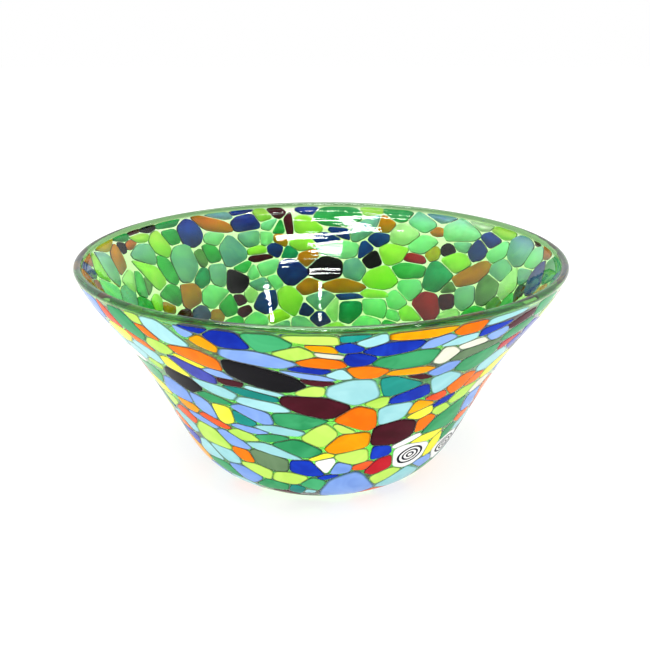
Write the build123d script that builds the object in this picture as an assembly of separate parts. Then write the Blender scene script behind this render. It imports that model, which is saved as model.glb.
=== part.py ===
from build123d import *
import math
import os
import random
from bisect import bisect_right

# A blown bowl of green glass. Chips of coloured glass lie side by side in a
# shallow recess around its outside, flush with the lip and the heel, and three
# slices of ringed cane lie among them. The origin is the middle of the flat
# base, +Z is up, and azimuth 0 is the front of the bowl (-Y), growing to +X.

# ---------------------------------------------------------------- sizes, mm
RIM_RADIUS = 75.0  # outside of the lip
HEIGHT = 70.0  # resting plane to the top of the lip
BASE_RADIUS = 29.5  # outer edge of the flat that the bowl rests on
LIP_THICKNESS = 2.4  # fire-polished, fully round
WALL_THICKNESS = 2.8  # below the lip, chips included
HEEL_THICKNESS = 4.2  # where the wall meets the base
FLOOR_THICKNESS = 5.5  # in the middle of the base
CHIP_DEPTH = 1.1  # chips, and the recess they fill
CHIP_GAP = 0.42  # seam of green glass between two chips
RECESS_TOP_DROP = 1.9  # top of the lip down to the first chips
RECESS_FOOT = 0.7  # resting plane up to the lowest chips
PONTIL_RADIUS = 20.0  # the kick under the base
PONTIL_RISE = 1.2
MURRINA_LENGTH = 11.5
MURRINA_WIDTH = 9.5
DARK_RINGS = ((0.78, 0.64), (0.50, 0.38), (0.24, 0.13))  # shares of a murrina

# The outside of the wall: share of the height, share of the flare.
WALL_STATIONS = (
    (0.0, 0.0),
    (0.03, 0.13),
    (0.09, 0.243),
    (0.27, 0.4),
    (0.51, 0.572),
    (0.72, 0.75),
    (0.90, 0.93),
    (1.0, 1.0),
)
LIP_HEIGHT = HEIGHT - LIP_THICKNESS / 2  # middle of the round lip
APEX = Vector(0, 0, HEIGHT * 1.05)  # the sides of every chip point here

# ---------------------------------------------------------------- the chips
# Azimuth in degrees, height of the middle, length, width and tilt in degrees.
CHIPS = {
    "orange": [
        (-27, 58, 15, 5, -25), (-37, 63, 8, 2.6, -35), (-43, 58.5, 8, 2.4, -30),
        (-26.5, 20, 6.5, 4.5, -50), (10, 38, 10, 9, -5), (0.5, 59.8, 9.5, 3.6, -3),
        (9, 55.8, 9.5, 4.6, 0), (29, 66.4, 9, 4, 8), (37, 44.5, 8, 5, 25),
        (-102, 61, 12, 4.8, -60), (-125, 43, 9, 6.5, -30), (-144, 64, 20, 5, 31),
        (-166, 56, 5, 4.6, 0), (-175, 39, 9.5, 5.2, 0), (171.5, 39.3, 14, 5, 0),
        (158.5, 61.3, 6, 6.5, 0), (140.5, 61.3, 4.6, 2.6, 0), (121.5, 50, 14, 7, -38),
        (94, 67, 7, 4, 30), (-57, 24, 8, 4, -15), (72, 14, 7, 6, 20),
    ],
    "amber": [
        (-23, 64, 7.5, 3.2, -30), (-42, 35, 6.5, 3.4, -25), (8, 28.5, 12, 8, 8),
        (27.5, 39.5, 8, 4, 18), (18, 67.2, 19, 4.6, 3), (0.5, 64, 8, 2.8, -15),
        (20, 54.3, 12, 2.4, -5), (-99, 67.2, 14, 5, 10), (64, 58, 9, 4, 15),
    ],
    "red_orange": [
        (-50, 64, 9, 3.4, -45), (-33.5, 32, 10, 2.8, -15), (-47, 29.5, 7, 4, -30),
        (14, 18.3, 5, 2.8, 5), (31.5, 41.8, 7, 3, 22), (-112, 63.5, 6, 2.8, 0),
        (-64, 42, 9, 4, -30), (68, 40, 8, 4, 15),
    ],
    "red": [
        (-29.5, 67.2, 4.4, 2.8, -40), (20.5, 17, 7.5, 6.5, 20), (46, 56.5, 8, 4, 30),
        (146, 51.3, 7.5, 3.4, 0), (64, 28, 6, 4.5, 20), (-78, 60, 8, 4, -20),
    ],
    "maroon": [
        (22, 30, 14, 9, 15), (-1.5, 43.3, 16, 8, -12), (-1.5, 52.3, 7, 2.4, -12),
        (-21, 49.7, 6, 2.2, -8), (22.5, 51.6, 6, 1.8, -5), (45.5, 64.3, 9, 2.8, 12),
        (-115, 67.3, 7, 2.8, 10), (-157.5, 50.2, 9, 3.4, 0), (-164.5, 66.5, 9, 4, 25),
        (-169, 60.5, 4, 11, 0), (-145.5, 37, 4.4, 4.8, 0), (-146, 33, 4.8, 4, 0),
        (126, 40, 7, 6.5, 0), (101, 67.3, 4, 2, 0), (-70, 24, 9, 6, -20),
    ],
    "black": [
        (-11.5, 53.2, 22, 7.4, -16), (-37, 46, 10, 6.5, -35),
        (-5, 2.6, 11, 3.2, 0), (-107.5, 64, 4.2, 3.2, -45), (-121, 67, 8, 3.6, 0),
        (-146.5, 43.3, 9.5, 9, 0), (178, 45.5, 11, 8, 0), (134, 56, 5, 3.8, 0),
        (92, 53, 5.5, 5, 0), (161.5, 49.3, 7, 6.4, 0), (58, 52, 7, 4, 20),
    ],
    "cobalt": [
        (-24.5, 67.4, 8, 2.2, 0), (-17.5, 65.2, 11.5, 5.4, -8), (-1.5, 56.7, 9, 2.2, -12),
        (-5.5, 18, 9.5, 5.8, -12), (2, 14.4, 5, 1.8, 15), (18.5, 23.5, 6, 5.4, 10),
        (14, 63.8, 14, 4.6, 6), (5, 64.3, 7, 3, 0), (7, 60.5, 7.5, 4.2, -5),
        (23, 45, 12, 4.6, 18), (35, 38.7, 5.5, 2.4, 25), (36, 64.7, 9, 3.2, 15),
        (-135, 62, 8, 8, 0), (-154.5, 67.4, 8, 2.6, 0), (-155.5, 62.5, 10.5, 7.5, -20),
        (-163.5, 52.8, 6, 4.8, 0), (179, 55.7, 10, 3.6, 0), (173, 57.8, 8, 3.4, 20),
        (-176, 67, 7.5, 3.8, 0), (-168, 44.3, 10, 10, 0), (-157, 34.8, 8.5, 8.5, -30),
        (-174, 31, 5, 4.8, 0), (168.5, 35.8, 8.5, 3, 0), (159.5, 56.5, 8, 4.8, -25),
        (164.5, 52.3, 6, 5, -40), (120, 62.5, 7.5, 4.8, 0), (123.5, 58, 7, 6.4, 0),
        (-72, 52, 10, 5, -20), (78, 47, 9, 5, 10), (-92, 34, 9, 6, 0),
    ],
    "violet_blue": [
        (-30.5, 52, 12.5, 5.2, -36), (-54, 19, 7, 4.4, -20), (72, 65, 10, 4, 5),
        (-84, 44, 8, 5, 0),
    ],
    "periwinkle": [
        (-26.5, 66.4, 8, 2.6, -20), (-23.5, 53, 6.5, 2.4, -15), (-34.5, 37.5, 9, 4.4, -50),
        (-38, 30.5, 8, 2.8, -20), (-29.5, 26, 8.5, 4.8, -30), (-21.5, 32, 8.5, 3, -8),
        (-17.5, 37.7, 10, 6, -15), (10, 7.5, 14.5, 15, 0), (6, 18.5, 6, 5.2, 0),
        (-13, 60.5, 15, 4.8, -12), (-2.2, 54.6, 11, 2.4, -12), (27.5, 53, 8, 4.2, 5),
        (23, 64, 9, 3.2, 8), (36.5, 61.6, 8, 3.4, 10), (52, 33, 8, 8, 20),
        (-95, 61, 11, 6.5, -60), (-128, 52.5, 11, 13, 0), (-114.5, 59, 9, 9, 0),
        (-146, 67.2, 12, 3, 12), (-148.5, 53.5, 10, 12.5, -15), (-155.3, 57.3, 9, 7, 0),
        (-139.5, 46.3, 7.5, 9, 0), (-155.5, 41, 8.5, 4.4, 10), (-179.8, 34, 10.5, 7, 0),
        (167.5, 45.5, 8, 6.6, 0), (166, 59.8, 13, 5.2, -40), (141, 67, 14, 4, -8),
        (129.5, 58.2, 7, 4, 0), (118.5, 43.5, 9, 7.5, 0), (106.5, 62, 11.5, 9, 0),
        (-66, 60, 10, 5, -25), (62, 44, 8, 5, 15), (84, 26, 8, 7, 0),
    ],
    "pale_turquoise": [
        (-32, 64.6, 13, 7, -42), (-44, 54, 9.5, 5, -30), (-26, 46, 10, 3.8, -20),
        (-15, 42.5, 13, 4.2, -12), (-12, 33.5, 14, 3, -5), (-15, 24.6, 15, 3.8, -18),
        (-36, 18, 9.5, 5, -20), (-6, 7.4, 5, 2.2, 0), (19.5, 39, 10, 6.6, 5),
        (33.5, 8, 14.5, 10, 8), (9.5, 66.2, 9, 3.6, 10), (8, 48.3, 14.5, 9, -3),
        (30.5, 47.5, 9, 8, 10), (27.5, 63, 10, 3, 8), (38, 67.3, 13, 3.4, 10),
        (46, 50.5, 8, 7, 15), (3.5, 55.3, 7.5, 3.2, -10), (-14, 48, 9, 1.8, -15),
        (-143.5, 58.5, 7, 4.4, 0), (-163, 61.5, 6, 4.4, 0), (-159.5, 47, 8, 5.6, 0),
        (-153.5, 46, 5, 6, 0), (-136, 40.5, 10, 7.5, 0), (-161, 56.7, 5, 5, 0),
        (157, 32.5, 8.5, 7, 0), (148, 35.8, 7, 6.5, 0), (143.5, 41, 8, 7.5, 0),
        (173, 52.3, 15, 6, 0), (144.5, 56, 10, 5.6, 0), (146.5, 64, 10.5, 7, -10),
        (131.5, 63, 12.5, 9, 0), (114.5, 59.5, 8, 6.4, 0), (97, 62.5, 8, 8, 0),
        (-56, 55, 8, 5, -30), (57, 23, 8, 6, 10), (-80, 32, 8, 7, 0),
    ],
    "teal": [
        (-21.5, 35.4, 7, 5, -10), (-8, 7.5, 9, 5, 0), (6, 67.4, 9, 2.4, 5),
        (17.5, 49.5, 11.5, 6.8, 3), (-16.5, 46.3, 12, 3.6, -12), (167.5, 31, 8.5, 7.4, 0),
        (134.5, 47, 11.5, 10.5, 0), (-60, 32, 8, 5, -20),
    ],
    "sea_green": [
        (-42.5, 63.5, 10, 6, -35), (-29.5, 41.8, 9, 2.6, -15), (-7.5, 37, 12.5, 6.6, -8),
        (-15.5, 29.6, 8, 2.8, 0), (-7, 26, 13, 6.4, -15), (-18.5, 8.2, 9.5, 5.4, -5),
        (-41, 11, 10, 5.6, -20), (-3.2, 11, 6, 6.4, 0), (41.5, 30, 13, 10, 25),
        (17.5, 59, 17, 5.2, 3), (38, 53.5, 14, 6.4, 15), (46.5, 60.3, 9, 5, 15),
        (53, 66, 10, 4.4, 8), (-10, 65.6, 13, 6.6, -10), (47, 8, 7, 5, 15),
        (-109.5, 66.8, 8, 4.2, 0), (-104.5, 51, 8.5, 8, 0), (-128, 62, 6.5, 6.4, 0),
        (-128.5, 66.8, 11, 3.8, 0), (-120.5, 53, 6.5, 9.5, 0), (-115.5, 45, 8.5, 6.5, 0),
        (-140, 53.5, 6.5, 6.4, 0), (-166, 60, 6, 4.8, 0), (175, 65, 17, 9, 0),
        (-151, 47.6, 8, 5, 0), (-140, 36, 8, 7.5, 0), (146, 47, 13.5, 6, 0),
        (155, 66.2, 9.5, 5.6, 0), (95, 49, 7, 6, 0), (-66, 66, 11, 4, 0),
    ],
    "lime": [
        (-39, 67, 5, 3.6, -40), (-44.5, 49.5, 4.6, 2.8, -20), (-38.5, 25, 10, 8, -20),
        (-24, 28.8, 8, 4.4, -10), (-23, 15, 10, 5, -20), (-12, 13.4, 11, 4.8, 0),
        (0, 31.5, 8.6, 8.6, 0), (6.5, 34, 5.2, 3.2, -20), (10.5, 22.5, 10, 6.4, 12),
        (42.5, 39.5, 9, 4.2, 28), (-1.5, 67, 15, 4, -3), (-5.5, 62.7, 9.5, 3.8, -6),
        (-89, 62, 10, 5.4, -60), (-116, 64.6, 9, 4, 0), (-112.5, 53, 8.5, 12, -20),
        (-123, 60, 8, 9.5, 0), (-161.5, 65.6, 8, 7, 0), (-157, 52.8, 7.4, 3.6, 0),
        (-173.5, 54.5, 9, 6.4, 0), (-166.5, 34.8, 8.5, 10.5, 0), (158.5, 37.5, 8.5, 2.8, 0),
        (141.5, 33, 9, 4.6, 0), (157, 43.5, 11, 7, -8), (154, 52, 10.5, 7.6, 0),
        (164.5, 67, 7.4, 4.4, 0), (117.5, 66.4, 10, 4.8, 0), (129.5, 52.8, 12.5, 6.8, 0),
        (60, 62, 8, 4, 10),
    ],
    "lemon_yellow": [
        (-29.5, 55.6, 9, 2, -22), (-28, 36, 6, 6, 0), (0, 23, 5.4, 2.8, 15),
        (29, 36.2, 6.4, 4, 20), (38, 24.6, 12, 3.8, 8), (42.5, 19.5, 4.4, 9, -10),
        (52, 46, 10, 5, 30), (-54, 38, 7, 5, -20),
    ],
    "white": [
        (1.6, 19.8, 6.4, 7.4, 20), (28, 25.6, 7.5, 2.2, 15), (70, 34, 7, 5, 0),
    ],
    "ivory": [
        (-20, 3, 9, 3.4, 0), (1.5, 62, 7, 2.2, -15), (26, 59, 6, 5.4, 0),
        (34, 61, 13, 2.6, 5), (50, 40, 6, 4, 20), (-100.5, 54.5, 6.4, 6.4, 0),
        (-151, 38.5, 5.4, 4.8, 0), (175.5, 31, 5, 7, 0), (152, 58.5, 12, 8, -8),
        (126, 67, 11, 4, -5), (-62, 49, 6, 4, 0),
    ],
    "olive": [
        (-17.5, 19.5, 11.5, 6.8, -10), (34, 58, 12, 3.6, 10), (-107, 50.5, 6.4, 3, -30),
        (-136, 53, 4.4, 5, 0), (109, 48, 10.5, 9, 0), (-74, 40, 6, 4, 0),
    ],
}
MURRINE = [(32, 19, 12), (53, 16, 20), (100.5, 52, 35)]  # azimuth, height, tilt

# Everywhere else chips fall as they do on the marver: at random, large first.
SEED = 7
FILL_SIZES = ((11.0, 7.6, 1500), (8.6, 6.2, 2500), (6.2, 4.8, 3000))
FILL_COLOURS = {
    "sea_green": 15, "periwinkle": 13, "pale_turquoise": 14, "lime": 13, "orange": 9,
    "cobalt": 8, "maroon": 5, "black": 3, "teal": 6, "amber": 4, "red_orange": 3,
    "red": 3, "lemon_yellow": 3, "ivory": 3, "white": 2, "olive": 2, "violet_blue": 3,
}
SPREAD = 1.55  # how far a chip flows out beyond its ellipse where it has room
ROOM = 0.92  # how near two chips fall, as a share of their half sizes
SMALLEST_EDGE = 0.9
SMALLEST_AREA = 6.0


# ---------------------------------------------------------------- the outline
def station(share_up, share_out):
    return Vector(BASE_RADIUS + (RIM_RADIUS - BASE_RADIUS) * share_out, 0, LIP_HEIGHT * share_up)


def inward(curve, at, depth):
    """The point of a profile curve at a share of its length, moved into the glass."""
    along = curve.tangent_at(at)
    return curve.position_at(at) + Vector(-along.Z, 0, along.X) * depth


outside = Edge.make_spline([station(*s) for s in WALL_STATIONS])

# The wall as a fine table of height, radius and the conformal measure that runs
# up the wall: one step of it is as long as the same angle around the bowl.
STEPS = 400
TRACK = [outside.position_at(k / STEPS) for k in range(STEPS + 1)]
HEIGHTS = [p.Z for p in TRACK]
RADII = [p.X for p in TRACK]
RUN = [0.0]
for low, high in zip(TRACK, TRACK[1:]):
    RUN.append(RUN[-1] + (high - low).length * 2 / (low.X + high.X))


def read(values, keys, key):
    """Reads one column of the wall table against another."""
    k = min(max(bisect_right(keys, key), 1), STEPS)
    share = (key - keys[k - 1]) / (keys[k] - keys[k - 1])
    return values[k - 1] + (values[k] - values[k - 1]) * share


def share_at(height):
    return read([k / STEPS for k in range(STEPS + 1)], HEIGHTS, height)


def on_wall(turn, run):
    """The point of the outside at an angle around and a measure up the wall."""
    radius = read(RADII, RUN, run)
    return Vector(radius * math.sin(turn), -radius * math.cos(turn), read(HEIGHTS, RUN, run))


# ---------------------------------------------------------------- chip outlines
class Chip:
    """One chip on the flattened wall, as an ellipse that its neighbours trim."""

    def __init__(self, colour, azimuth, height, length, width, tilt):
        self.colour = colour
        self.turn = math.radians(azimuth)
        self.run = read(RUN, HEIGHTS, height)
        self.radius = read(RADII, HEIGHTS, height)
        self.half = (length / 2 / self.radius, width / 2 / self.radius)
        self.tilt = math.radians(tilt)

    def split(self, x, y):
        """A step on the wall, in the chip's own long and short directions."""
        c, s = math.cos(self.tilt), math.sin(self.tilt)
        return x * c + y * s, -x * s + y * c

    def reach(self, x, y):
        """How far the ellipse reaches in the direction of a step."""
        u, v = self.split(x, y)
        return math.hypot(x, y) / math.hypot(u / self.half[0], v / self.half[1])

    def pull(self, x, y):
        """The ellipse's outward direction where a step crosses it."""
        u, v = self.split(x, y)
        u, v = u / self.half[0] ** 2, v / self.half[1] ** 2
        c, s = math.cos(self.tilt), math.sin(self.tilt)
        gx, gy = u * c - v * s, u * s + v * c
        size = math.hypot(gx, gy)
        return gx / size, gy / size

    def ellipse(self, spread, corners):
        points = []
        for k in range(corners):
            angle = 2 * math.pi * (k + 0.5) / corners
            u, v = spread * self.half[0] * math.cos(angle), spread * self.half[1] * math.sin(angle)
            c, s = math.cos(self.tilt), math.sin(self.tilt)
            points.append((u * c - v * s, u * s + v * c))
        return points


def step(a, b):
    """From chip a to chip b, the short way round."""
    around = (b.turn - a.turn + math.pi) % (2 * math.pi) - math.pi
    return around, b.run - a.run


def clip(outline, nx, ny, limit):
    """The part of an outline on the near side of a straight line."""
    kept = []
    for (ax, ay), (bx, by) in zip(outline, outline[1:] + outline[:1]):
        a, b = ax * nx + ay * ny - limit, bx * nx + by * ny - limit
        if a <= 0:
            kept.append((ax, ay))
        if (a < 0 < b) or (b < 0 < a):
            t = a / (a - b)
            kept.append((ax + (bx - ax) * t, ay + (by - ay) * t))
    return kept


def outline(chip, chips):
    """The chip's corners from its middle: its ellipse, trimmed half-way to each neighbour."""
    corners = chip.ellipse(SPREAD, 10)
    seam = CHIP_GAP / 2 / chip.radius
    for other in chips:
        if other is chip:
            continue
        dx, dy = step(chip, other)
        apart = math.hypot(dx, dy)
        if apart > 1.3 * (max(chip.half) + max(other.half)):
            continue
        mine, theirs = chip.reach(dx, dy), other.reach(dx, dy)
        share = mine / (mine + theirs)
        a, b = chip.pull(dx, dy), other.pull(dx, dy)
        nx, ny = a[0] + b[0], a[1] + b[1]
        size = math.hypot(nx, ny)
        nx, ny = nx / size, ny / size
        corners = clip(corners, nx, ny, (dx * nx + dy * ny) * share - seam)
    foot = read(RUN, HEIGHTS, RECESS_FOOT) + seam
    top = read(RUN, HEIGHTS, HEIGHT - RECESS_TOP_DROP) - seam * 0.5
    corners = clip(corners, 0, -1, chip.run - foot)
    corners = clip(corners, 0, 1, top - chip.run)
    kept = []
    for x, y in corners:
        if not kept or math.hypot(x - kept[-1][0], y - kept[-1][1]) * chip.radius > SMALLEST_EDGE:
            kept.append((x, y))
    while len(kept) > 2:
        x, y = kept[0][0] - kept[-1][0], kept[0][1] - kept[-1][1]
        if math.hypot(x, y) * chip.radius > SMALLEST_EDGE:
            break
        kept.pop()
    return kept


def area(corners, radius):
    total = 0
    for (ax, ay), (bx, by) in zip(corners, corners[1:] + corners[:1]):
        total += ax * by - bx * ay
    return abs(total) / 2 * radius**2


def fill(chips):
    """Drops chips at random wherever there is room, until the wall is covered."""
    draw = random.Random(SEED)
    names, weights = list(FILL_COLOURS), list(FILL_COLOURS.values())
    low, high = RECESS_FOOT + 1.5, HEIGHT - RECESS_TOP_DROP - 1.2
    for length, width, tries in FILL_SIZES:
        for _ in range(tries):
            run = draw.uniform(read(RUN, HEIGHTS, low), read(RUN, HEIGHTS, high))
            height = read(HEIGHTS, RUN, run)
            azimuth, tilt = draw.uniform(-180, 180), draw.uniform(-30, 30)
            scale = draw.uniform(0.8, 1.2)
            colour = draw.choices(names, weights)[0]
            new = Chip(colour, azimuth, height, length * scale, width * scale, tilt)
            for other in chips:
                dx, dy = step(new, other)
                room = ROOM * (new.reach(dx, dy) + other.reach(dx, dy))
                if math.hypot(dx, dy) < room:
                    break
            else:
                chips.append(new)


# ---------------------------------------------------------------- solids
def wedge(chip, corners):
    """The pyramid, cut off short, that stands on a chip's outline."""
    rim = [on_wall(chip.turn + x, chip.run + y) for x, y in corners]
    near, far = 0.88, 1.08
    rings = [[APEX + (p - APEX) * reach for p in rim] for reach in (near, far)]
    return Solid.make_loft([Wire.make_polygon(r, close=True) for r in rings], ruled=True)


def chip_layer():
    """The whole layer that chips are cut from, between the wall and its recess."""
    low, high = share_at(RECESS_FOOT), share_at(HEIGHT - RECESS_TOP_DROP)
    stations = [low + (high - low) * k / 6 for k in range(7)]
    floor = Edge.make_spline([inward(outside, s, CHIP_DEPTH) for s in stations])
    skin = outside.trim(low, high)
    ends = [Edge.make_line(skin @ 0, floor @ 0), Edge.make_line(skin @ 1, floor @ 1)]
    return revolve(Face(Wire([skin, floor, *ends])), Axis.Z), skin, floor


def gather():
    """The bowl of green glass: wall with its recess, lip, floor and pontil kick."""
    _, skin, floor = chip_layer()
    low, high = share_at(RECESS_FOOT), share_at(HEIGHT - RECESS_TOP_DROP)
    heel, lower = outside.trim(0, low), floor
    upper = outside.trim(high, 1)
    lip_out = outside @ 1
    lip_in = Vector(lip_out.X - LIP_THICKNESS, 0, lip_out.Z)
    lip = Edge.make_three_point_arc(
        lip_out, Vector(lip_out.X - LIP_THICKNESS / 2, 0, HEIGHT), lip_in
    )
    stations = []
    for height in (0.9, 0.75, 0.58, 0.42, 0.28, 0.18):
        deep = WALL_THICKNESS + (HEEL_THICKNESS - WALL_THICKNESS) * (0.9 - height) / 0.72
        stations.append(inward(outside, share_at(LIP_HEIGHT * height), deep))
    stations.append(Vector(BASE_RADIUS * 0.9, 0, FLOOR_THICKNESS + 1.6))
    inside = Edge.make_spline(
        [lip_in, *stations, Vector(0, 0, FLOOR_THICKNESS)],
        tangents=[Vector(-0.25, 0, -1), Vector(-1, 0, 0)],
    )
    kick = Edge.make_three_point_arc(
        Vector(0, 0, PONTIL_RISE),
        Vector(PONTIL_RADIUS * 0.55, 0, PONTIL_RISE * 0.7),
        Vector(PONTIL_RADIUS, 0, 0),
    )
    outline_edges = [
        Edge.make_line(Vector(PONTIL_RADIUS, 0, 0), outside @ 0),
        heel,
        Edge.make_line(skin @ 0, lower @ 0),
        lower,
        Edge.make_line(lower @ 1, skin @ 1),
        upper,
        lip,
        inside,
        Edge.make_line(Vector(0, 0, FLOOR_THICKNESS), Vector(0, 0, PONTIL_RISE)),
        kick,
    ]
    return revolve(Face(Wire(outline_edges)), Axis.Z)


def murrina_frame(chip):
    """A plane on the wall at a murrina, facing outwards, its long side along X."""
    here = on_wall(chip.turn, chip.run)
    across = Vector(math.cos(chip.turn), math.sin(chip.turn), 0)
    above = on_wall(chip.turn, chip.run + 0.01)
    out = across.cross((above - here).normalized())
    return Plane(here, x_dir=across, z_dir=out).rotated((0, 0, math.degrees(chip.tilt)))


def dark_rings(chip, layer):
    """The dark rings of a murrina, as deep as the chips are."""
    plane = murrina_frame(chip)
    rings = []
    for outer, inner in DARK_RINGS:
        size = MURRINA_LENGTH / 2, MURRINA_WIDTH / 2
        flat = Ellipse(size[0] * outer, size[1] * outer) - Ellipse(size[0] * inner, size[1] * inner)
        tube = extrude(plane * flat, 3 * CHIP_DEPTH, both=True)
        rings += (layer & tube).solids()
    return rings


def whole(shape):
    """One compound of a shape's solids, ready to be written."""
    return Compound(children=list(shape))


# ---------------------------------------------------------------- the model
os.makedirs("parts", exist_ok=True)
chips = [Chip("murrina", a, h, MURRINA_LENGTH, MURRINA_WIDTH, t) for a, h, t in MURRINE]
for colour, placed in CHIPS.items():
    chips += [Chip(colour, *values) for values in placed]
fill(chips)

groups = {name: [] for name in ("murrina", *CHIPS)}
for chip in chips:
    corners = outline(chip, chips)
    if len(corners) > 2 and area(corners, chip.radius) > SMALLEST_AREA:
        groups[chip.colour].append((chip, wedge(chip, corners)))

layer, _, _ = chip_layer()
export_step(gather(), "parts/green_glass_bowl.step")

white, dark = [], []
for chip, block in groups.pop("murrina"):
    rings = dark_rings(chip, layer)
    dark += rings
    white += ((layer & block) - whole(rings)).solids()
export_step(whole(white), "parts/murrine_white_glass.step")
export_step(whole(dark), "parts/murrine_dark_rings.step")

for colour, blocks in groups.items():
    pieces = layer & Compound([block for _, block in blocks])
    export_step(whole(pieces.solids()), f"parts/chips_{colour}.step")
    print(colour, len(blocks), "chips", len(pieces.solids()), "solids")
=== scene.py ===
# %% [markdown]
# # A blown glass bowl covered in coloured chips
# A gather of clear lime-green glass was rolled over chips of opaque coloured glass, melted until
# they lay flush, and blown and spun out into a bowl with a flared rim. Three of the chips are
# murrine: slices of a striped cane that show rings. The engineering model in the frame says where
# every chip is; here each one becomes molten-looking glass, and the gather becomes one clear body.

import math
import random

import bmesh
import bpy
import numpy as np
from mathutils import Matrix, Vector, noise
from mathutils.geometry import convex_hull_2d


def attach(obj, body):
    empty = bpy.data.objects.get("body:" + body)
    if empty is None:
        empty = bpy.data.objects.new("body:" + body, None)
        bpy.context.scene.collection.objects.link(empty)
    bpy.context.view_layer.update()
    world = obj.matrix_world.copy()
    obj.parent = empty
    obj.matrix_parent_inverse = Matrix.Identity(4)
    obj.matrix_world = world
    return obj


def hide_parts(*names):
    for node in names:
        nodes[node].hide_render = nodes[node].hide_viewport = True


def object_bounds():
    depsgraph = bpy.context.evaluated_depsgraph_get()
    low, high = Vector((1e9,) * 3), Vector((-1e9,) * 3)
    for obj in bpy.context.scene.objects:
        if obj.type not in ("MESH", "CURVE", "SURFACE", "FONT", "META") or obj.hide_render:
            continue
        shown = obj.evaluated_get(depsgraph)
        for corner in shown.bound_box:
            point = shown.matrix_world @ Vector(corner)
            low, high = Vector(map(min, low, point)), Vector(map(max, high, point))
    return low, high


noise.seed_set(11)  # vectors of noise are unseeded until this is called

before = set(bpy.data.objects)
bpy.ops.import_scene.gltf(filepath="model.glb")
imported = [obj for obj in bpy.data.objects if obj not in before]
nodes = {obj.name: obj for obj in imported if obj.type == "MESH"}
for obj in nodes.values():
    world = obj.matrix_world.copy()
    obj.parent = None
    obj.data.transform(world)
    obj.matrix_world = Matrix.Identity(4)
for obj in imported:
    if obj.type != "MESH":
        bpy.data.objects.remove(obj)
cad_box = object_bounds()
MM = 0.001
chip_nodes = sorted(name for name in nodes if name.startswith("chips_"))
print("frame:", len(nodes), "nodes,", len(chip_nodes), "colours of chips")

# %% [markdown]
# ## Measuring the wall
# Everything on this bowl follows its wall, so the wall comes first. The profile could be typed in
# again, but then a changed frame would leave the looks behind. Seen from a point on the axis just
# above the mouth, the outside is always the farthest thing and the inside the nearest, so a smooth
# curve of distance over angle is fitted to the frame's own points for each of them.

# %% Distances from a point above the mouth
HEIGHT = cad_box[1].z / MM
EYE = HEIGHT * 1.05
BANDS = 36
SAME_SURFACE = 0.3  # mm; points this close to the farthest one lie on the same surface
bowl_points = np.array([v.co for v in nodes["green_glass_bowl"].data.vertices]) / MM
skin_points = np.array([v.co for n in chip_nodes for v in nodes[n].data.vertices]) / MM


def from_eye(points):
    """Angle below the horizon and distance, seen from the point above the mouth."""
    out, down = np.hypot(points[:, 0], points[:, 1]), EYE - points[:, 2]
    return np.arctan2(down, out), np.hypot(down, out)


def fitted(points, low, high, side):
    """The farthest (side 1) or nearest (side -1) surface, as a curve of distance over angle."""
    angle, reach = from_eye(points)
    inside = (angle >= low) & (angle <= high)
    angle, reach = angle[inside], reach[inside]
    band = np.floor((angle - low) / (high - low) * BANDS * 0.999)
    best = [np.flatnonzero(band == k) for k in np.unique(band)]
    best = sorted((rows[np.argmax(side * reach[rows])] for rows in best), key=lambda i: angle[i])
    rough = np.interp(angle, angle[best], reach[best])
    on_it = side * reach > side * rough - SAME_SURFACE
    curve = np.polynomial.Chebyshev.fit(angle[on_it], reach[on_it], 15)
    worst = np.abs(curve(angle[on_it]) - reach[on_it]).max()
    print("fitted", on_it.sum(), "points, worst", round(float(worst), 3), "mm")
    return curve


# %% The outside and the inside
rim = bowl_points[np.argmax(np.hypot(bowl_points[:, 0], bowl_points[:, 1]))]
RIM_RADIUS, LIP_HEIGHT = float(np.hypot(rim[0], rim[1])), float(rim[2])
LIP_HALF = HEIGHT - LIP_HEIGHT
standing = bowl_points[bowl_points[:, 2] < 0.001]
standing_radii = np.hypot(standing[:, 0], standing[:, 1])
STAND_INNER, STAND_OUTER = float(min(standing_radii)), float(max(standing_radii))
lip_angle = math.atan2(EYE - LIP_HEIGHT, RIM_RADIUS)
heel_angle = math.atan2(EYE, STAND_OUTER)
outside = fitted(np.vstack([skin_points, bowl_points]), lip_angle, heel_angle, 1)
inner_lip_angle = math.atan2(EYE - LIP_HEIGHT, RIM_RADIUS - 2 * LIP_HALF)
inside = fitted(bowl_points, inner_lip_angle, math.pi / 2, -1)
print("rim", round(RIM_RADIUS, 2), "lip", round(2 * LIP_HALF, 2))
print("stands on", round(STAND_OUTER, 2))

# %% [markdown]
# ## Unrolling the wall
# Shaping a chip is easy on a flat bench and awkward on a flaring wall. Sign painters unroll a cone;
# this wall curves both ways, so the map used here is the one that keeps small shapes true: a step
# up the wall is measured against the radius at that height. A chip is made flat, in millimetres,
# and then laid on the wall with its own lift above the surface.

# %% The unrolled wall
angles = np.linspace(heel_angle, lip_angle, 700)
WALL_RADIUS = outside(angles) * np.cos(angles)
WALL_HEIGHT = EYE - outside(angles) * np.sin(angles)
going_out, going_up = np.gradient(WALL_RADIUS), np.gradient(WALL_HEIGHT)
going = np.hypot(going_out, going_up)
WALL_RUN = np.concatenate([[0], np.cumsum((going / WALL_RADIUS)[1:])])
FACING_OUT, FACING_UP = going_up / going, -going_out / going  # which way the wall faces

RIPPLE = 0.055  # mm; blown glass is never quite true
RIPPLE_LENGTH = 16.0


def ripple(point):
    """How far a hand-blown surface swells at a point, in mm."""
    return RIPPLE * noise.noise(point / RIPPLE_LENGTH)


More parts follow.
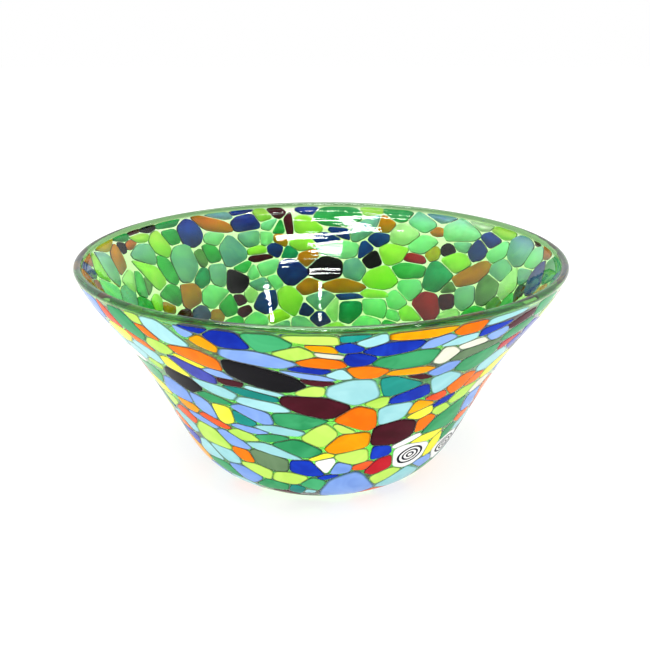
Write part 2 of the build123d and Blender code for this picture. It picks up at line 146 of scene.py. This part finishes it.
def on_wall(turn, run, lift):
    """Points at an angle around, a measure up the wall and a lift above it, in metres."""
    radius, height = np.interp(run, WALL_RUN, WALL_RADIUS), np.interp(run, WALL_RUN, WALL_HEIGHT)
    spots = np.stack([radius * np.sin(turn), -radius * np.cos(turn), height], axis=1)
    lift = lift + np.array([ripple(Vector(p)) for p in spots])
    out, up = np.interp(run, WALL_RUN, FACING_OUT), np.interp(run, WALL_RUN, FACING_UP)
    spots += np.stack([out * np.sin(turn), -out * np.cos(turn), up], axis=1) * lift[:, None]
    return spots * MM


def new_piece(name, bm):
    """Turns a bmesh into a smooth-shaded piece that rides with the bowl."""
    for face in bm.faces:
        face.smooth = True
    mesh = bpy.data.meshes.new(name)
    bm.to_mesh(mesh)
    bm.free()
    piece = bpy.data.objects.new(name, mesh)
    bpy.context.scene.collection.objects.link(piece)
    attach(piece, "root")
    print(name, len(mesh.vertices), "vertices")
    return piece


# %% [markdown]
# ## The clear green body
# The body is one closed shell of revolution. A lathe of a drawn half-section is the natural way to
# make it: the section runs from the pontil kick under the foot, over the wall and the round lip,
# down the inside to the middle of the floor, and is spun once round. Then the surface is moved by a
# fraction of a hair's width, because perfectly true walls give highlights that no blown glass has.

# %% The half-section
LIP_START, LIP_END = math.radians(-20), math.radians(193)
KICK_POINTS, HEEL_POINTS, LIP_POINTS, INSIDE_POINTS = 10, 80, 16, 80
kick_rise = min(p[2] for p in bowl_points if math.hypot(p[0], p[1]) < 0.5)

section = []
for k in range(KICK_POINTS + 1):
    share = k / KICK_POINTS
    section.append((STAND_INNER * share, kick_rise * (1 - share**2)))
section.append(((STAND_INNER + STAND_OUTER) / 2, 0))
lip_low = LIP_HEIGHT + LIP_HALF * math.sin(LIP_START)
for angle in np.linspace(heel_angle, lip_angle, HEEL_POINTS):
    radius, height = outside(angle) * math.cos(angle), EYE - outside(angle) * math.sin(angle)
    if height < lip_low - 0.15:
        section.append((radius, max(height, 0)))
for angle in np.linspace(LIP_START, LIP_END, LIP_POINTS):
    middle = RIM_RADIUS - LIP_HALF
    section.append((middle + LIP_HALF * math.cos(angle), LIP_HEIGHT + LIP_HALF * math.sin(angle)))
for angle in np.linspace(inner_lip_angle, math.pi / 2, INSIDE_POINTS):
    radius, height = inside(angle) * math.cos(angle), EYE - inside(angle) * math.sin(angle)
    if height < section[-1][1] - 0.3 or radius < STAND_OUTER:
        section.append((max(radius, 0), height))
section[-1] = (0, section[-1][1])
print("section:", len(section), "points")

# %% Spin it
BODY_STEPS = 224
body = bmesh.new()
line = [body.verts.new((radius * MM, 0, height * MM)) for radius, height in section]
for a, b in zip(line, line[1:]):
    body.edges.new((a, b))
bmesh.ops.spin(
    body, geom=body.verts[:] + body.edges[:], axis=(0, 0, 1), cent=(0, 0, 0),
    angle=2 * math.pi, steps=BODY_STEPS, use_merge=True,
)
bmesh.ops.remove_doubles(body, verts=body.verts, dist=1e-7)
bmesh.ops.recalc_face_normals(body, faces=body.faces)
body.normal_update()
moved = []
for vert in body.verts:
    settled = min(1, vert.co.z / MM / 4)  # the foot stays ground flat
    moved.append((vert, vert.normal * ripple(vert.co / MM) * settled * MM))
for vert, move in moved:
    vert.co += move
print("body closed:", all(edge.is_manifold for edge in body.edges))
clear_body = new_piece("clear_green_body", body)

# %% [markdown]
# ## The chips
# Melted chips keep the outline of the broken glass, but heat rounds every corner, and surface
# tension pulls the face into a very low cushion. Each chip starts as the outline of its solid in
# the frame, laid flat. Its corners are rounded with a vertex bevel, the edge is made a little
# uneven, and the face is then drawn up ring by ring with extrusions: narrower at the back, where
# the green glass flowed in under it, full at the surface, and rounded over at the top.

# %% Reading the outlines from the frame
def separate(bm):
    """The vertices of each solid in a bmesh, as lists."""
    solids, seen = [], set()
    for start in bm.verts:
        if start in seen:
            continue
        seen.add(start)
        found = [start]
        for vert in found:
            for edge in vert.link_edges:
                other = edge.other_vert(vert)
                if other not in seen:
                    seen.add(other)
                    found.append(other)
        solids.append(found)
    return solids


def corners_of(flat):
    """The corners of a flat outline that stand out from the line through their neighbours."""
    hull = [flat[i] for i in convex_hull_2d(flat)]
    while len(hull) > 4:
        out = []
        for a, b, c in zip(hull[-1:] + hull[:-1], hull, hull[1:] + hull[:1]):
            out.append(abs((c - a).cross(b - a)) / (c - a).length)
        if min(out) > STANDS_OUT:
            break
        hull.pop(out.index(min(out)))
    return hull


STANDS_OUT = 0.09  # mm


def chips_in(name):
    """Angle around, measure up, radius and flat outline of each chip of a CAD node."""
    copy = bmesh.new()
    copy.from_mesh(nodes[name].data)
    bmesh.ops.remove_doubles(copy, verts=copy.verts, dist=1e-6)
    found = []
    for solid in separate(copy):
        points = np.array([v.co for v in solid]) / MM
        angle, reach = from_eye(points)
        points = points[reach > outside(angle) - SAME_SURFACE]
        middle = points.mean(axis=0)
        turn = math.atan2(middle[0], -middle[1])
        around = np.arctan2(points[:, 0], -points[:, 1]) - turn
        around = (around + math.pi) % (2 * math.pi) - math.pi
        up = np.interp(points[:, 2], WALL_HEIGHT, WALL_RUN)
        run = float(up.mean())
        radius = float(np.interp(run, WALL_RUN, WALL_RADIUS))
        flat = [Vector((x, y)) for x, y in zip(around * radius, (up - run) * radius)]
        found.append((turn, run, radius, corners_of(flat)))
    copy.free()
    return found


# %% Shaping one chip on the flat
GROW = 0.19  # mm that a chip spreads as it melts
CORNER = 25  # per cent of an edge that its rounded corner takes
WOBBLE = 0.09  # mm of unevenness along the edge
LONG_EDGE = 1.5
SIDE_DEPTH, CHIP_DEPTH = 0.70, 1.10  # mm down to where a chip turns in, and to its back
RINGS = (  # share of the outline and lift in mm, from the narrower back of the chip to its face
    (0.96, -CHIP_DEPTH), (0.985, -SIDE_DEPTH), (1.0, -0.04), (0.985, 0.01),
    (0.95, 0.035), (0.86, 0.05), (0.62, 0.055), (0.32, 0.055),
)
LAYERS = ("tone", "edge", "buried")


def melted_outline(chip, outline, seed):
    """A flat face with rounded corners and an uneven edge, and its middle."""
    middle = sum(outline, Vector((0, 0))) / len(outline)
    size = sum((p - middle).length for p in outline) / len(outline)
    corners = [middle + (p - middle) * (1 + GROW / size) for p in outline]
    face = chip.faces.new([chip.verts.new((*p, 0)) for p in corners])
    rounded = bmesh.ops.bevel(
        chip, geom=list(face.verts), offset=CORNER, offset_type="PERCENT", segments=3,
        profile=0.5, affect="VERTICES", material=-1,
    )
    face = rounded["verts"][0].link_faces[0]
    for edge in [edge for edge in face.edges if edge.calc_length() > LONG_EDGE]:
        bmesh.utils.edge_split(edge, edge.verts[0], 0.5)
    for vert in face.verts:
        vert.co += noise.noise_vector(vert.co * 0.8 + seed).xy.to_3d() * WOBBLE
    return face, middle.to_3d()


def melted_chip(outline, tone, seed):
    """One closed chip, flat, in millimetres, drawn up ring by ring with its face at height 0."""
    chip = bmesh.new()
    tones, edges, depths = (chip.verts.layers.float.new(name) for name in LAYERS)
    face, middle = melted_outline(chip, outline, seed)
    centre = Matrix.Translation(-middle)
    back, last = face, (1.0, 0.0)
    for share, lift in RINGS:
        if last != (1.0, 0.0):
            made = bmesh.ops.extrude_face_region(chip, geom=[face])["geom"]
            if face is not back:
                bmesh.ops.delete(chip, geom=[face], context="FACES_ONLY")
            face = next(item for item in made if isinstance(item, bmesh.types.BMFace))
        step = share / last[0]
        bmesh.ops.scale(chip, verts=face.verts[:], vec=(step, step, 1), space=centre)
        bmesh.ops.translate(chip, verts=face.verts[:], vec=(0, 0, lift - last[1]))
        for vert in face.verts:
            below = (-lift - SIDE_DEPTH) / (CHIP_DEPTH - SIDE_DEPTH)
            vert[edges], vert[depths] = share, min(max(below, 0), 1)
        last = share, lift
    bmesh.ops.poke(chip, faces=[face])
    bmesh.ops.triangulate(chip, faces=[back])
    bmesh.ops.recalc_face_normals(chip, faces=chip.faces)
    for vert in chip.verts:
        vert[tones] = tone
    return chip


# %% Laying every chip on the wall
draw = random.Random(11)
bench = bpy.data.meshes.new("bench")


def make_chips(name, node, keep=lambda found: found):
    """One piece with all the chips of a colour, each with its own tone."""
    bm = bmesh.new()
    for layer in LAYERS:
        bm.verts.layers.float.new(layer)
    for turn, run, radius, outline in keep(chips_in(node)):
        seed = Vector((draw.uniform(-90, 90), draw.uniform(-90, 90), draw.uniform(-90, 90)))
        chip = melted_chip(outline, draw.random(), seed)
        flat = np.array([v.co for v in chip.verts])
        laid = on_wall(turn + flat[:, 0] / radius, run + flat[:, 1] / radius, flat[:, 2])
        for vert, place in zip(chip.verts, laid):
            vert.co = place
        chip.to_mesh(bench)
        chip.free()
        bm.from_mesh(bench)
    return new_piece(name, bm)


chip_pieces = {node: make_chips(node[6:] + "_glass_chips", node) for node in chip_nodes}
print("chips laid in", len(chip_pieces), "colours")

# %% [markdown]
# ## The murrine
# A slice of cane has rings that run right through it, so it is made as a white chip like the others
# and dark rings on top of it. The rings are taken from the frame as they are, lifted until they
# lie on the white chip's face, and nudged about a little, since a drawn cane is never quite round.

# %% White slices
def outermost(found):
    """The three outer bands, one for each slice; the inner bands lie within them."""
    return sorted(found, key=lambda chip: -max(p.length for p in chip[3]))[:3]


white_slices = make_chips("white_murrine", "murrine_white_glass", outermost)

# %% Dark rings
RING_LIFT, RING_WOBBLE = 0.075, 0.16
rings = bmesh.new()
rings.from_mesh(nodes["murrine_dark_rings"].data)
bmesh.ops.remove_doubles(rings, verts=rings.verts, dist=1e-6)
points = np.array([v.co for v in rings.verts]) / MM
angle, reach = from_eye(points)
depth = reach - outside(angle)
turns = np.arctan2(points[:, 0], -points[:, 1])
lifted = on_wall(turns, np.interp(points[:, 2], WALL_HEIGHT, WALL_RUN), depth * 0.9 + RING_LIFT)
for vert, place in zip(rings.verts, lifted):
    wave = noise.noise_vector(vert.co / MM * 0.4) * RING_WOBBLE * MM
    out = Vector((place[0], place[1], -0.5 * math.hypot(place[0], place[1]))).normalized()
    vert.co = Vector(place) + wave - out * wave.dot(out)
dark_rings = new_piece("dark_murrine_rings", rings)

# %% [markdown]
# ## Writing materials
# A finish is a few nodes, and their maths reads best as sums. `Value` wraps a socket so that
# `1 - mask * 0.5` adds the Math nodes, and `Finish.add` makes any other node: its kind, its
# settings, then what its sockets hold or what they are joined to. The light of the room is written
# in the same way.

# %% Two small classes
class Value:
    """A number that varies over a surface, for use in sums."""

    def __init__(self, finish, socket):
        self.finish, self.socket = finish, socket

    def maths(self, operation, first, second):
        return Value(self.finish, self.finish.add(
            "ShaderNodeMath", {"operation": operation}, {0: first, 1: second}).socket)

    def __add__(self, other):
        return self.maths("ADD", self, other)

    def __sub__(self, other):
        return self.maths("SUBTRACT", self, other)

    def __rsub__(self, other):
        return self.maths("SUBTRACT", other, self)

    def __mul__(self, other):
        return self.maths("MULTIPLY", self, other)

    __radd__, __rmul__ = __add__, __mul__


class Finish:
    """A material, or the light of a room, under construction."""

    def __init__(self, name, room=None):
        self.material = room or bpy.data.materials.new(name)
        self.material.use_nodes = True
        self.tree = self.material.node_tree
        self.tree.nodes.clear()
        self.place = self.add("ShaderNodeTexCoord", {}, {}, "Generated" if room else "Object")

    def add(self, kind, settings, sockets, output=0):
        """Makes a node and returns one of its outputs."""
        node = self.tree.nodes.new(kind)
        for name, value in settings.items():
            if name == "stops":
                ramp = node.color_ramp
                while len(ramp.elements) < len(value):
                    ramp.elements.new(0.5)
                for element, (at, colour) in zip(ramp.elements, value):
                    element.position, element.color = at, (*colour, 1)
            else:
                setattr(node, name, value)
        for name, value in sockets.items():
            if isinstance(value, Value):
                self.tree.links.new(value.socket, node.inputs[name])
            else:
                node.inputs[name].default_value = value
        return Value(self, node.outputs[output])

    def noise(self, scale, detail=2.0, distortion=0.0):
        sockets = {"Vector": self.place, "Scale": scale, "Detail": detail, "Distortion": distortion}
        return self.add("ShaderNodeTexNoise", {}, sockets)

    def ramp(self, value, low, high):
        """0 below low, 1 above high, and smooth between them."""
        settings = {"interpolation_type": "SMOOTHSTEP"}
        return self.add("ShaderNodeMapRange", settings, {0: value, 1: low, 2: high})

    def mix(self, share, first, second):
        settings = {"data_type": "RGBA"}
        return self.add("ShaderNodeMix", settings, {0: share, 6: first, 7: second}, 2)

    def times(self, share, first, second):
        """The first colour, multiplied by the second as far as the share says."""
        settings = {"data_type": "RGBA", "blend_type": "MULTIPLY", "clamp_result": True}
        return self.add("ShaderNodeMix", settings, {0: share, 6: first, 7: second}, 2)

    def bump(self, height, distance, strength=1.0):
        sockets = {"Height": height, "Distance": distance, "Strength": strength}
        return self.add("ShaderNodeBump", {}, sockets)

    def finish(self, surface, volume=None, output="ShaderNodeOutputMaterial"):
        out = self.tree.nodes.new(output)
        self.tree.links.new(surface.socket, out.inputs["Surface"])
        if volume:
            self.tree.links.new(volume.socket, out.inputs["Volume"])
        return self.material


def srgb(red, green, blue, gain=1.0):
    """A colour as a painter reads it, 0 to 255, as light."""
    light = []
    for level in (red, green, blue):
        level /= 255
        level = level / 12.92 if level <= 0.04045 else ((level + 0.055) / 1.055) ** 2.4
        light.append(min(level * gain, 1))
    return (*light, 1)


# %% [markdown]
# ## The clear green glass
# Green glass is not green paint: a thin seam is nearly clear and a thick lip is dark. So the
# surface has hardly any colour, and the colour sits in the volume, where light loses red and blue
# with each millimetre it travels. Only the lip has a colour as well: painted shade, a darker tone
# that stands in for the light that comes up the wall.

# %% Clear green glass
ABSORPTION = 265.0  # per metre, for blue
LIP_PAINTED_SHADE = srgb(88, 120, 92)  # painted shade: the lip is darkened, as if its light had come down the whole wall
COMBING = 0.7  # how strongly the surface is combed by the spinning tool
COMB_LINES = (25, 25, 600)  # fine lines that run round the bowl
LIP_SHADE_BELOW, LIP_SHADE_FULL = 2.0, 0.9  # mm under the top of the lip
finish = Finish("clear_green_glass")
wall_tint = finish.mix(finish.noise(38.0, 3.0), srgb(250, 255, 246), (1, 1, 1, 1))
drawn = finish.add("ShaderNodeMapping", {}, {"Vector": finish.place, "Scale": COMB_LINES})
up = finish.add("ShaderNodeSeparateXYZ", {}, {"Vector": finish.place}, "Z")
# painted shade: the glass colour darkens towards the top of the lip
painted_lip_shade = finish.ramp(up, (HEIGHT - LIP_SHADE_BELOW) * MM, (HEIGHT - LIP_SHADE_FULL) * MM)
combing = finish.add("ShaderNodeTexNoise", {}, {"Vector": drawn, "Scale": 1.0, "Detail": 2.0})
green_glass = finish.finish(
    finish.add("ShaderNodeBsdfPrincipled", {}, {
        "Base Color": finish.mix(painted_lip_shade, wall_tint, LIP_PAINTED_SHADE),
        "Roughness": finish.ramp(finish.noise(60.0), 0.35, 0.9) * 0.03,
        "IOR": 1.5,
        "Transmission Weight": 1.0,
        "Normal": finish.bump(finish.noise(55.0, 1.0) + combing * COMBING, 0.0002, 0.6),
    }),
    finish.add("ShaderNodeVolumeAbsorption", {}, {
        "Color": (0.39, 0.956, 0.0, 1), "Density": ABSORPTION,
    }),
)
clear_body.data.materials.append(green_glass)
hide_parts("green_glass_bowl")
print("clear glass on", clear_body.name)

# %% [markdown]
# ## The opaque glasses
# Each colour is one glass, but no two chips of it match: a chip may be a little lighter or darker,
# it has faint strings where it was stretched, and its edge and sides are dark green: partly green
# glass that laps over it, partly painted shade in the seams between chips. Buried faces are painted
# brighter, as painted light. The tone of a chip, the way to its edge and how deep a face is buried
# are stored on the mesh as attributes, so the pattern belongs to the chip. The faces are smooth
# with
# hardly any gloss of their own: the gloss of this bowl is that of the clear glass.

# %% Opaque chip glass
BURIED_PAINTED_LIGHT = (1.5, 1.45, 1.5, 1)  # painted light: faces buried in the glass are painted brighter
SHEEN = 0.03  # the green glass around a chip takes most of its own reflection away


def opaque_glass(name, deep, light, edge_lap_and_shade=0.8, strings=0.45):
    """Opaque glass between a deep and a light tone, greener at the edge of each chip (partly
    lapping glass, partly painted seam shade), with buried faces painted brighter.
    """
    finish = Finish(name)
    tone = finish.add("ShaderNodeAttribute", {"attribute_name": "tone"}, {}, "Fac")
    edge = finish.add("ShaderNodeAttribute", {"attribute_name": "edge"}, {}, "Fac")
    drawn = finish.noise(90.0, 2.0, 1.6)
    clouds = finish.noise(230.0, 3.0)
    share = tone * 0.55 + finish.ramp(drawn, 0.3, 0.75) * strings + clouds * 0.2 - 0.05
    colour = finish.mix(share, deep, light)
    buried = finish.add("ShaderNodeAttribute", {"attribute_name": "buried"}, {}, "Fac")
    # the edge and upper sides darken towards dark green: partly green glass lapping over, partly
    # painted shade in the seams
    rim = finish.ramp(edge, 0.88, 1.0) * (1 - buried) * edge_lap_and_shade
    colour_with_painted_light = finish.times(rim, colour, srgb(70, 125, 62))
    # painted light: faces buried deep in the glass are made brighter by this gain
    colour_with_painted_light = finish.times(buried, colour_with_painted_light, BURIED_PAINTED_LIGHT)
    return finish.finish(finish.add("ShaderNodeBsdfPrincipled", {}, {
        "Base Color": colour_with_painted_light,
        "Roughness": finish.ramp(clouds, 0.3, 0.8) * 0.05 + 0.06 + buried * 0.85,
        "IOR": 1.52,
        "Specular IOR Level": SHEEN,
        "Normal": finish.bump(finish.noise(150.0, 2.0), 0.0001, 0.5),
    }))


GLASSES = {  # deep and light tone of each colour
    "orange": ((240, 92, 0), (255, 130, 8)),
    "amber": ((248, 142, 0), (255, 182, 8)),
    "red_orange": ((222, 66, 28), (245, 105, 50)),
    "red": ((170, 18, 30), (212, 35, 50)),
    "maroon": ((60, 10, 22), (90, 18, 38)),
    "black": ((5, 4, 8), (16, 14, 21)),
    "cobalt": ((8, 28, 140), (22, 62, 195)),
    "violet_blue": ((55, 62, 160), (85, 95, 198)),
    "periwinkle": ((112, 148, 220), (150, 185, 245)),
    "pale_turquoise": ((140, 202, 208), (174, 226, 230)),
    "teal": ((8, 118, 110), (35, 158, 145)),
    "sea_green": ((32, 135, 80), (75, 180, 120)),
    "lime": ((172, 218, 82), (204, 240, 112)),
    "lemon_yellow": ((240, 230, 40), (255, 252, 85)),
    "white": ((238, 240, 236), (255, 255, 252)),
    "ivory": ((212, 212, 190), (238, 238, 222)),
    "olive": ((78, 108, 74), (112, 142, 104)),
}
for node, piece in chip_pieces.items():
    colour = node[6:]
    deep, light = GLASSES[colour]
    piece.data.materials.append(opaque_glass(colour + "_opaque_glass", srgb(*deep), srgb(*light)))
    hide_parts(node)
print("opaque glasses:", len(GLASSES))

# %% Cane glass
for piece, node, slot, name, deep, light in (
    (white_slices, "murrine_white_glass", "cane_white_glass", "white_cane_glass",
     (236, 238, 236), (255, 255, 253)),
    (dark_rings, "murrine_dark_rings", "cane_dark_glass", "dark_cane_glass",
     (8, 10, 30), (20, 26, 58)),
):
    piece.data.materials.append(opaque_glass(name, srgb(*deep), srgb(*light), edge_lap_and_shade=0.25))
    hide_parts(node)
print("cane glass on", white_slices.name, "and", dark_rings.name)

# %% [markdown]
# ## The studio
# Glass shows its surroundings more than itself. A bright white room and a glowing white table fill
# the clear seams with light, a dim zone high up in front keeps the lip dark, and a few narrow
# bright lamps draw the streaks on the inside wall.

# %% Table and room
TABLE_HALF = 4.0
TABLE_GLOW = 0.80  # the table is lit from under its frosted top as well
table = bmesh.new()
bmesh.ops.create_grid(table, x_segments=1, y_segments=1, size=TABLE_HALF)
table_mesh = bpy.data.meshes.new("white_table")
table.to_mesh(table_mesh)
table.free()
floor = bpy.data.objects.new("white_table", table_mesh)
floor.location.z = -0.0002
bpy.context.scene.collection.objects.link(floor)
paint = Finish("white_table_paint")
floor.data.materials.append(paint.finish(paint.add("ShaderNodeBsdfPrincipled", {}, {
    "Base Color": paint.mix(paint.noise(3.0), srgb(122, 122, 120), srgb(128, 128, 126)),
    "Roughness": 0.5,
    "Specular IOR Level": 0.1,
    "Emission Color": (1, 1, 0.985, 1),
    "Emission Strength": TABLE_GLOW,
})))

WALL_WHITE, FRONT_GREY = (1, 1, 1, 1), (0.22, 0.22, 0.23, 1)
DIM_IN_FRONT, DIM_ABOVE = (0.05, 0.45), (0.44, 0.62)  # where the dim zone begins and is full

world = bpy.data.worlds.new("white_room")
room = Finish("white_room", world)
toward = room.add("ShaderNodeSeparateXYZ", {}, {"Vector": room.place}, "Y")
upward = room.add("ShaderNodeSeparateXYZ", {}, {"Vector": room.place}, "Z")
shade = room.ramp(toward * -1, *DIM_IN_FRONT) * room.ramp(upward, *DIM_ABOVE)
walls = room.mix(shade, WALL_WHITE, FRONT_GREY)
room.finish(room.add("ShaderNodeBackground", {}, {"Color": walls}), output="ShaderNodeOutputWorld")
bpy.context.scene.world = world
print("the table and the walls are white, and the room is dim high up in front")


# %% Lamps
MIDDLE = Vector((0, 0, HEIGHT / 2 * MM))


def panel(name, place, along, length, width, power):
    """A flat lamp panel that faces the bowl, with its long side along a direction."""
    data = bpy.data.lights.new(name, "AREA")
    data.shape, data.size, data.size_y, data.energy = "RECTANGLE", length, width, power
    lamp = bpy.data.objects.new(name, data)
    lamp.location = place
    back = (Vector(place) - MIDDLE).normalized()
    across = back.cross(Vector(along)).normalized()
    lamp.rotation_mode = "QUATERNION"
    turned = Matrix((across.cross(back), across, back)).transposed()
    lamp.rotation_quaternion = turned.to_quaternion()
    bpy.context.scene.collection.objects.link(lamp)


CORNER_OF_BEAMS = Vector((-0.12, -0.62, 1.14))  # two bright ceiling beams meet here
BEAMS = {
    "left_beam": (Vector((0.42, -0.56, 1.06)), 0.05, 4.2),
    "right_beam": (Vector((-0.63, -0.17, 1.13)), 0.06, 5.5),
}
LAMPS = {  # place, direction of the long side, length, width and power
    "ceiling_panel": ((0.0, 0.25, 1.7), (1, 0, 0), 1.2, 1.2, 32),
    "side_panel": ((-0.8, -1.4, 0.5), (0.87, -0.5, 0), 0.5, 0.5, 3),
    "cross_beam": ((-0.03, -0.77, 1.01), (1, -0.1, -0.1), 0.38, 0.06, 2.6),
    "small_window": ((0.03, -1.00, 0.83), (1, 0, 0), 0.04, 0.09, 1.0),
    "side_window": ((0.74, -0.72, 0.79), (1, 1, 0), 0.06, 0.10, 1.2),
}
for name, (end, width, power) in BEAMS.items():
    run = CORNER_OF_BEAMS - end
    panel(name, (CORNER_OF_BEAMS + end) / 2, run, run.length, width, power)
for name, (place, along, length, width, power) in LAMPS.items():
    panel(name, place, along, length, width, power)
print("lamps are up")

# %% Camera
STAND_OFF = 0.25  # from the middle of the rim
LOOK_DOWN = math.radians(14.13)  # how high the lens stands above the rim
TILT = math.radians(19.76)
camera = bpy.data.objects.new("camera", bpy.data.cameras.new("camera"))
camera.data.lens, camera.data.sensor_width = 43.81, 36.0
camera.data.clip_start = 0.01
camera.location = (
    0, -STAND_OFF * math.cos(LOOK_DOWN), HEIGHT * MM + STAND_OFF * math.sin(LOOK_DOWN),
)
camera.rotation_euler = (math.pi / 2 - TILT, 0, math.radians(-0.27))
bpy.context.scene.collection.objects.link(camera)
bpy.context.scene.camera = camera

scene = bpy.context.scene
scene.view_settings.view_transform = "Standard"
scene.cycles.max_bounces = 20
scene.cycles.transmission_bounces = 16
scene.cycles.diffuse_bounces = 6
scene.cycles.glossy_bounces = 6
scene.cycles.blur_glossy = 0.4
scene.cycles.use_denoising = True
print("camera", [round(c, 4) for c in camera.location])
